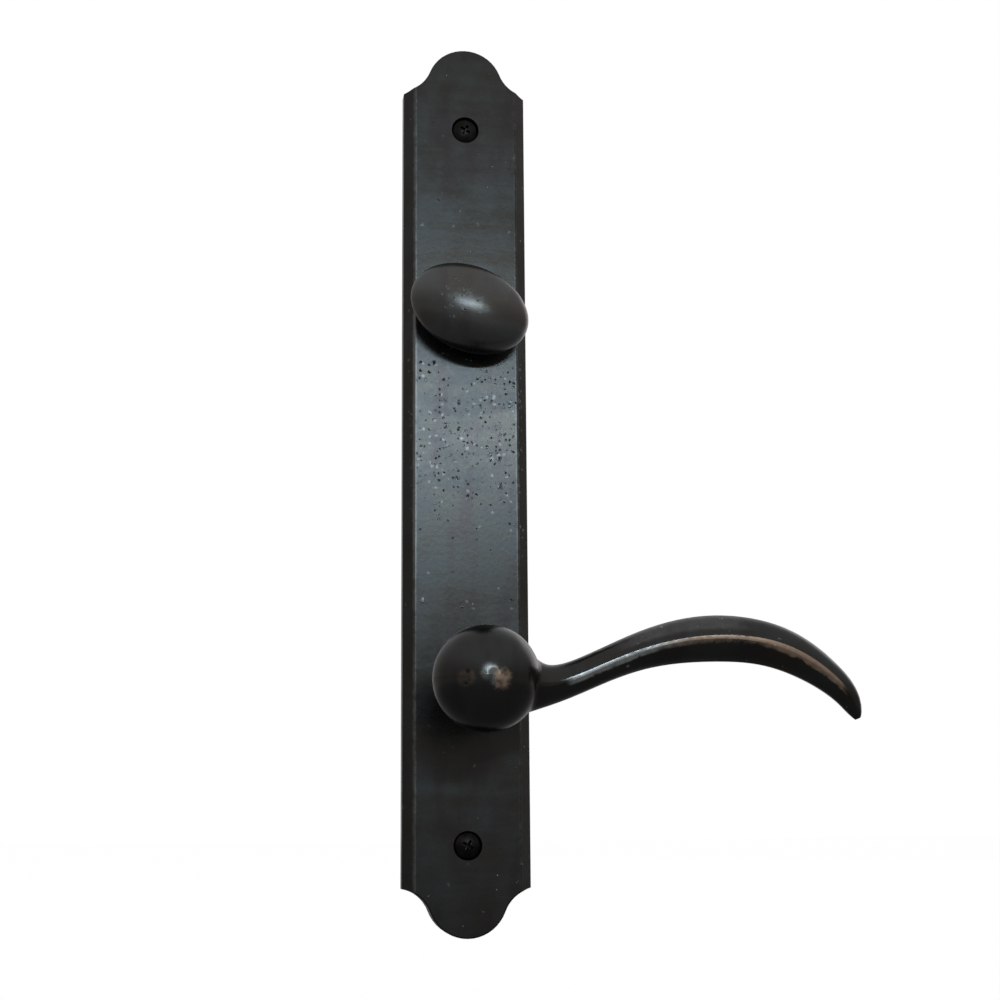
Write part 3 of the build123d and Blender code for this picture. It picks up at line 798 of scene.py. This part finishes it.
def tapered_blade(length, width, depth, turn, taper):
    """Cutter of one arm of a cross recess: a bar whose far end is narrower."""
    start_clean()
    bpy.ops.mesh.primitive_cube_add(size=1, location=(0, 0, 0), scale=(length, width, 2 * depth))
    blade = bpy.context.object
    bpy.ops.object.transform_apply(location=True, rotation=True, scale=True)
    bpy.ops.object.mode_set(mode="EDIT")
    bpy.ops.mesh.select_all(action="DESELECT")
    bpy.ops.object.mode_set(mode="OBJECT")
    for face in blade.data.polygons:
        face.select = face.normal.z > 0.9
    bpy.ops.object.mode_set(mode="EDIT")
    bpy.ops.transform.resize(value=(taper, taper, 1), center_override=(0, 0, depth))
    bpy.ops.object.mode_set(mode="OBJECT")
    blade.rotation_euler = (0, 0, turn)
    bpy.ops.object.transform_apply(location=True, rotation=True, scale=True)
    return blade


def wound_thread(start, end, crest, root, pitch):
    """Helical ridge about Z, from one depth to another: a small trapezium wound by a screw."""
    start_clean()
    sunk = root - THREAD_SUNK * (crest - root)
    level = start + pitch / 2
    middle = (crest + sunk) / 2
    bpy.ops.mesh.primitive_plane_add(size=1, location=(middle, 0, level), rotation=(math.pi / 2, 0, 0))
    ridge = bpy.context.object
    bpy.ops.object.transform_apply(location=True, rotation=True, scale=True)
    bpy.ops.object.mode_set(mode="EDIT")
    bpy.ops.mesh.select_all(action="SELECT")
    foot = THREAD_FOOT * pitch
    bpy.ops.transform.resize(value=(crest - sunk, 1, foot), center_override=(middle, 0, level))
    bpy.ops.mesh.delete(type="ONLY_FACE")
    bpy.ops.mesh.select_all(action="DESELECT")
    bpy.ops.object.mode_set(mode="OBJECT")
    for corner in ridge.data.vertices:
        corner.select = corner.co.x > middle
    bpy.ops.object.mode_set(mode="EDIT")
    bpy.ops.transform.resize(value=(1, 1, THREAD_CREST), center_override=(crest, 0, level))
    bpy.ops.object.mode_set(mode="OBJECT")
    winding = ridge.modifiers.new("wind", "SCREW")
    winding.axis = "Z"
    winding.angle = 2 * math.pi
    winding.screw_offset = pitch
    winding.iterations = max(1, int((end - start - pitch) / pitch))
    winding.steps = THREAD_STEPS
    winding.render_steps = THREAD_STEPS
    bpy.ops.object.modifier_apply(modifier=winding.name)
    bpy.ops.object.mode_set(mode="EDIT")
    bpy.ops.mesh.select_all(action="SELECT")
    bpy.ops.mesh.fill_holes(sides=4)
    bpy.ops.mesh.select_all(action="SELECT")
    bpy.ops.mesh.normals_make_consistent(inside=False)
    bpy.ops.object.mode_set(mode="OBJECT")
    return ridge


def joined(piece, *others):
    """Joins pieces into the first one."""
    only(piece)
    for other in others:
        other.select_set(True)
    bpy.ops.object.join()
    return piece


def soft_edges(piece):
    """Small bevels on the sharp edges."""
    only(piece)
    bevel = piece.modifiers.new("edges", "BEVEL")
    bevel.width = EDGE_WIDTH
    bevel.segments = 2
    bevel.limit_method = "ANGLE"
    bevel.angle_limit = EDGE_ANGLE
    bpy.ops.object.modifier_apply(modifier=bevel.name)


def settle(piece, turn, place):
    """Turns and moves a piece to its place, puts that into its mesh, and shades it smooth."""
    only(piece)
    piece.rotation_euler = turn
    piece.location = place
    bpy.ops.object.transform_apply(location=True, rotation=True, scale=True)
    bpy.ops.object.shade_smooth_by_angle(angle=SMOOTH_ANGLE)


def paint(piece, material):
    """Gives a new piece its only material."""
    piece.data.materials.clear()
    piece.data.materials.append(material)


# Operators


class HANDLESET_OT_plate(bpy.types.Operator):
    """Finish of the escutcheon plate: pitted, cloudy bronze, with a painted highlight along its arrises and painted
    shade on its bevels
    """

    bl_idname = "handleset.plate"
    bl_label = "Escutcheon Plate"

    def execute(self, context):
        use = context.scene.bronze_settings
        dress("escutcheon_plate", bronze_finish("plate bronze", plate_signs, 1.0, use.roughness + 0.02))
        return {"FINISHED"}


class HANDLESET_OT_lever(bpy.types.Operator):
    """Finish of the lever: bronze worn to copper along its ridge, with painted highlights and sheen in pale metal,
    and painted darker than the plate
    """

    bl_idname = "handleset.lever"
    bl_label = "Lever"

    def execute(self, context):
        use = context.scene.bronze_settings
        # Painted shade: the lever's bronze is painted darker than the plate's.
        dress("lever_handle", bronze_finish("lever bronze", lever_signs, 0.85, use.roughness - 0.02))
        return {"FINISHED"}


class HANDLESET_OT_turn(bpy.types.Operator):
    """Finish of the thumb turn: bronze with a pitted crown, painted lighter than the plate"""

    bl_idname = "handleset.turn"
    bl_label = "Thumb Turn"

    def execute(self, context):
        use = context.scene.bronze_settings
        # Painted light: the thumb turn's bronze is painted lighter than the plate's.
        dress("thumb_turn", bronze_finish("turn bronze", turn_signs, 1.9, use.roughness + 0.04))
        return {"FINISHED"}


INNER_PARTS = {
    "zinc drawn": ("lever_spindle", "turn_tailpiece", "tailpiece_pin"),
    "zinc rolled": ("return_cam", "turn_thrust_washer"),
    "spring steel oiled": (
        "lever_return_spring", "lever_spring_washer", "turn_spring_washer", "lever_retaining_ring",
        "turn_retaining_ring",
    ),
    "nylon moulded": ("lever_bush", "turn_bush", "lever_face_washer", "turn_face_washer"),
}


class HANDLESET_OT_inner_parts(bpy.types.Operator):
    """Finishes of the spindle, tailpiece, cam, rings, washers, spring and bushes"""

    bl_idname = "handleset.inner_parts"
    bl_label = "Inner Parts"

    def execute(self, context):
        for name, nodes in INNER_PARTS.items():
            material = steel(name) if name in STEELS else nylon_finish(name)
            for node in nodes:
                dress(node, material)
        return {"FINISHED"}


# Rings of an oval head's dome, as shares of the angle to its rim
DOME_RINGS = (0.12, 0.3, 0.48, 0.64, 0.78, 0.9, 1.0)
DRIVE_TAPER = 0.6


class HANDLESET_OT_mounting_screws(bpy.types.Operator):
    """Two oval-head screws with a cross recess and a wound thread"""

    bl_idname = "handleset.mounting_screws"
    bl_label = "Mounting Screws"

    def execute(self, context):
        use = context.scene.screw_settings
        length = SCREWS_HIGH[1] - SCREWS_LOW[1]
        root = use.thread_radius - use.thread_depth
        sphere = (use.head_radius**2 + use.dome**2) / (2 * use.dome)
        rim_angle = math.asin(use.head_radius / sphere)
        rings = []
        for share in DOME_RINGS:
            angle = share * rim_angle
            rings.append((sphere * (1 - math.cos(angle)), sphere * math.sin(angle)))
        relief = -SCREWS_LOW[1] + use.relief
        rings.append((use.dome + use.cone, use.shank_radius))
        rings.append((relief - use.shank_radius + root, use.shank_radius))
        rings.append((relief, root))
        rings.append((length - use.pitch, root))
        rings.append((length, root - use.pitch))
        body = turned("mounting_screw_upper", rings, use.sides)
        for quarter in (0.0, math.pi / 2):
            turn = use.drive_turn + quarter
            cut_away(body, tapered_blade(use.drive_length, use.drive_width, use.drive_depth, turn, DRIVE_TAPER))
        soft_edges(body)
        thread = wound_thread(relief, length - use.pitch, use.thread_radius, root, use.pitch)
        body = joined(body, thread)
        only(body)
        bpy.ops.object.duplicate()
        lower = context.object
        lower.name = "mounting_screw_lower"
        into_door = (-math.pi / 2, 0, 0)
        settle(body, into_door, (0, SCREWS_LOW[1], SCREWS_HIGH[2] - use.head_radius))
        settle(lower, into_door, (0, SCREWS_LOW[1], SCREWS_LOW[2] + use.head_radius))
        for piece in (body, lower):
            paint(piece, steel("steel blackened"))
            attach(piece, "plate")
        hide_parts("mounting_screws")
        return {"FINISHED"}


# The set screw's socket, as shares of the core's radius and of the screw's length on both sides of its end
SOCKET_RADIUS = 0.6
SOCKET_LENGTH = 0.8


class HANDLESET_OT_set_screw(bpy.types.Operator):
    """Set screw of the spindle, with its thread and its six-sided socket"""

    bl_idname = "handleset.set_screw"
    bl_label = "Set Screw"

    def execute(self, context):
        use = context.scene.screw_settings
        low, high = Vector(GRUB_LOW), Vector(GRUB_HIGH)
        crest = (high.x - low.x) / 2
        root = crest - use.thread_depth
        length = high.z - low.z
        edge = use.thread_depth
        rings = [(0, root - edge), (edge, root), (length - edge, root), (length, root - edge)]
        body = turned("set_screw_threaded", rings, use.sides)
        start_clean()
        bpy.ops.mesh.primitive_cylinder_add(
            vertices=6, radius=SOCKET_RADIUS * root, depth=SOCKET_LENGTH * length, location=(0, 0, 0)
        )
        cutter = context.object
        bpy.ops.object.transform_apply(location=True, rotation=True, scale=True)
        cut_away(body, cutter)
        thread = wound_thread(edge, length - edge, crest, root, use.pitch)
        body = joined(body, thread)
        settle(body, (0, 0, 0), ((low.x + high.x) / 2, (low.y + high.y) / 2, low.z))
        paint(body, steel("steel blackened"))
        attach(body, "lever")
        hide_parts("spindle_set_screw")
        return {"FINISHED"}


LAMP_AIM = (0, 0, 0.06)
# How dark the floor looks in the metal: by its distance, and less behind the door's face at the right
FLOOR_DIM = (0.15, 1.6, 0.72, 0.4)
FLOOR_BEHIND = (0.0, 0.3, 0.0, 0.8)
FLOOR_RIGHT = (-0.2, 0.25)
# How white the floor looks to the camera
FLOOR_GLOW = 1.2
FLOOR_GLOW_SHARE = 0.75
# Directions in which the surroundings get lighter
SKY_RISE = (0.0, 0.7)
SKY_BEHIND = (0.3, 0.85)
SKY_RIGHT = (-0.35, 0.15)
SENSOR_WIDTH = 36
CLIP_START = 0.01
WHITE = (1, 1, 1, 1)
BLACK = (0, 0, 0, 1)


class HANDLESET_OT_stage(bpy.types.Operator):
    """Pale floor, two soft lamps, white surroundings and the photograph's camera"""

    bl_idname = "handleset.stage"
    bl_label = "Stage"

    def execute(self, context):
        scene = context.scene
        use = scene.stage_settings
        start_clean()
        level = CAD_BOX[0][2] - use.floor_gap
        bpy.ops.mesh.primitive_plane_add(size=use.floor_size, location=(0, 0, level))
        floor = context.object
        floor.name = "floor"
        bpy.ops.object.transform_apply(location=True, rotation=True, scale=True)
        floor.data.materials.append(self.floor_paint(use))
        self.surround(scene, use)
        key = self.lamp("key lamp", use.key_place, use.key_width, use.key_height, use.key_power)
        key.color = use.key_colour
        self.lamp("side lamp", use.side_place, use.side_width, use.side_height, use.side_power)
        self.camera(scene)
        scene.view_settings.view_transform = "Standard"
        return {"FINISHED"}

    def floor_paint(self, use):
        """Matt white that stays white to the camera, keeps the shadow and looks dim in the dark metal."""
        material = bpy.data.materials.new("floor white")
        material.use_nodes = True
        tree = material.node_tree
        tree.nodes.clear()
        rays = put(tree, "ShaderNodeLightPath").outputs
        where = put(tree, "ShaderNodeTexCoord").outputs["Object"]
        flat = put(tree, "ShaderNodeVectorMath", {0: where, 1: (1, 1, 0)}, operation="MULTIPLY").outputs[0]
        away = put(tree, "ShaderNodeVectorMath", {0: flat}, operation="LENGTH").outputs["Value"]
        side, depth, _ = put(tree, "ShaderNodeSeparateXYZ", {0: where}).outputs
        behind = times(tree, ramp(tree, depth, *FLOOR_BEHIND), ramp(tree, side, *FLOOR_RIGHT))
        dimmed = times(tree, ramp(tree, away, *FLOOR_DIM), calc(tree, "SUBTRACT", 1.0, behind))
        colour = tint(tree, times(tree, rays["Is Glossy Ray"], dimmed), opaque(use.floor_colour), BLACK)
        matt = put(tree, "ShaderNodeBsdfDiffuse", {"Color": colour})
        glow = put(tree, "ShaderNodeEmission", {"Color": WHITE, "Strength": FLOOR_GLOW})
        seen = times(tree, rays["Is Camera Ray"], FLOOR_GLOW_SHARE)
        mixed = put(tree, "ShaderNodeMixShader", {0: seen, 1: matt.outputs[0], 2: glow.outputs[0]})
        out = tree.nodes.new("ShaderNodeOutputMaterial")
        tree.links.new(mixed.outputs[0], out.inputs["Surface"])
        return material

    def surround(self, scene, use):
        """White to the camera; to the metal a soft light that grows upwards, and behind it at the right."""
        world = bpy.data.worlds.new("surroundings")
        scene.world = world
        world.use_nodes = True
        tree = world.node_tree
        tree.nodes.clear()
        where = put(tree, "ShaderNodeTexCoord").outputs["Object"]
        side, depth, rise = put(tree, "ShaderNodeSeparateXYZ", {0: where}).outputs
        ahead = tint(tree, ramp(tree, rise, *SKY_RISE), opaque(use.low_light), opaque(use.high_light))
        behind = times(tree, ramp(tree, depth, *SKY_BEHIND), ramp(tree, side, *SKY_RIGHT))
        shade = tint(tree, behind, ahead, opaque(use.back_light))
        soft = put(tree, "ShaderNodeBackground", {"Color": shade, "Strength": 1.0})
        white = put(tree, "ShaderNodeBackground", {"Color": WHITE, "Strength": 1.0})
        seen = put(tree, "ShaderNodeLightPath").outputs["Is Camera Ray"]
        mixed = put(tree, "ShaderNodeMixShader", {0: seen, 1: soft.outputs[0], 2: white.outputs[0]})
        out = tree.nodes.new("ShaderNodeOutputWorld")
        tree.links.new(mixed.outputs[0], out.inputs["Surface"])

    def lamp(self, name, place, width, height, power):
        """White rectangular lamp aimed at the handle set; gives its light."""
        light = bpy.data.lights.new(name, "AREA")
        light.shape = "RECTANGLE"
        light.size = width
        light.size_y = height
        light.energy = power
        lamp = bpy.data.objects.new(name, light)
        bpy.context.collection.objects.link(lamp)
        lamp.location = place
        lamp.rotation_euler = (Vector(LAMP_AIM) - Vector(place)).to_track_quat("-Z", "Y").to_euler()
        return light

    def camera(self, scene):
        """Camera at the photograph's viewpoint."""
        use = scene.camera_settings
        ahead = Vector(
            (math.sin(use.yaw) * math.cos(use.pitch), math.cos(use.yaw) * math.cos(use.pitch), math.sin(use.pitch))
        )
        right = Vector((math.cos(use.yaw), -math.sin(use.yaw), 0))
        up = right.cross(ahead)
        leaned_right = math.cos(use.roll) * right + math.sin(use.roll) * up
        leaned_up = math.cos(use.roll) * up - math.sin(use.roll) * right
        data = bpy.data.cameras.new("photo camera")
        data.lens = use.focal
        data.sensor_width = SENSOR_WIDTH
        data.clip_start = CLIP_START
        camera = bpy.data.objects.new("photo camera", data)
        bpy.context.collection.objects.link(camera)
        turn = Matrix((leaned_right, leaned_up, -ahead)).transposed()
        camera.matrix_world = Matrix.Translation(use.place) @ turn.to_4x4()
        scene.camera = camera


class HANDLESET_PT_panel(bpy.types.Panel):
    """Steps of the handle set, in order"""

    bl_label = "Handle Set"
    bl_space_type = "VIEW_3D"
    bl_region_type = "UI"
    bl_category = "Handle Set"

    def draw(self, context):
        for operator in OPERATORS:
            self.layout.operator(operator.bl_idname)
        for name in SETTINGS:
            settings = getattr(context.scene, name)
            box = self.layout.box()
            for value in settings.bl_rna.properties:
                if value.identifier not in ("rna_type", "name"):
                    box.prop(settings, value.identifier)


SETTINGS = {
    "bronze_settings": BronzeSettings,
    "screw_settings": ScrewSettings,
    "stage_settings": StageSettings,
    "camera_settings": CameraSettings,
}
OPERATORS = (
    HANDLESET_OT_plate,
    HANDLESET_OT_lever,
    HANDLESET_OT_turn,
    HANDLESET_OT_inner_parts,
    HANDLESET_OT_mounting_screws,
    HANDLESET_OT_set_screw,
    HANDLESET_OT_stage,
)


def register():
    for group in SETTINGS.values():
        bpy.utils.register_class(group)
    for operator in OPERATORS:
        bpy.utils.register_class(operator)
    bpy.utils.register_class(HANDLESET_PT_panel)
    for name, group in SETTINGS.items():
        setattr(bpy.types.Scene, name, PointerProperty(type=group))


def unregister():
    for name in SETTINGS:
        delattr(bpy.types.Scene, name)
    bpy.utils.unregister_class(HANDLESET_PT_panel)
    for operator in reversed(OPERATORS):
        bpy.utils.unregister_class(operator)
    for group in SETTINGS.values():
        bpy.utils.unregister_class(group)


def main():
    register()
    bpy.ops.handleset.plate()
    bpy.ops.handleset.lever()
    bpy.ops.handleset.turn()
    bpy.ops.handleset.inner_parts()
    bpy.ops.handleset.mounting_screws()
    bpy.ops.handleset.set_screw()
    bpy.ops.handleset.stage()


if __name__ == "__main__":
    main()
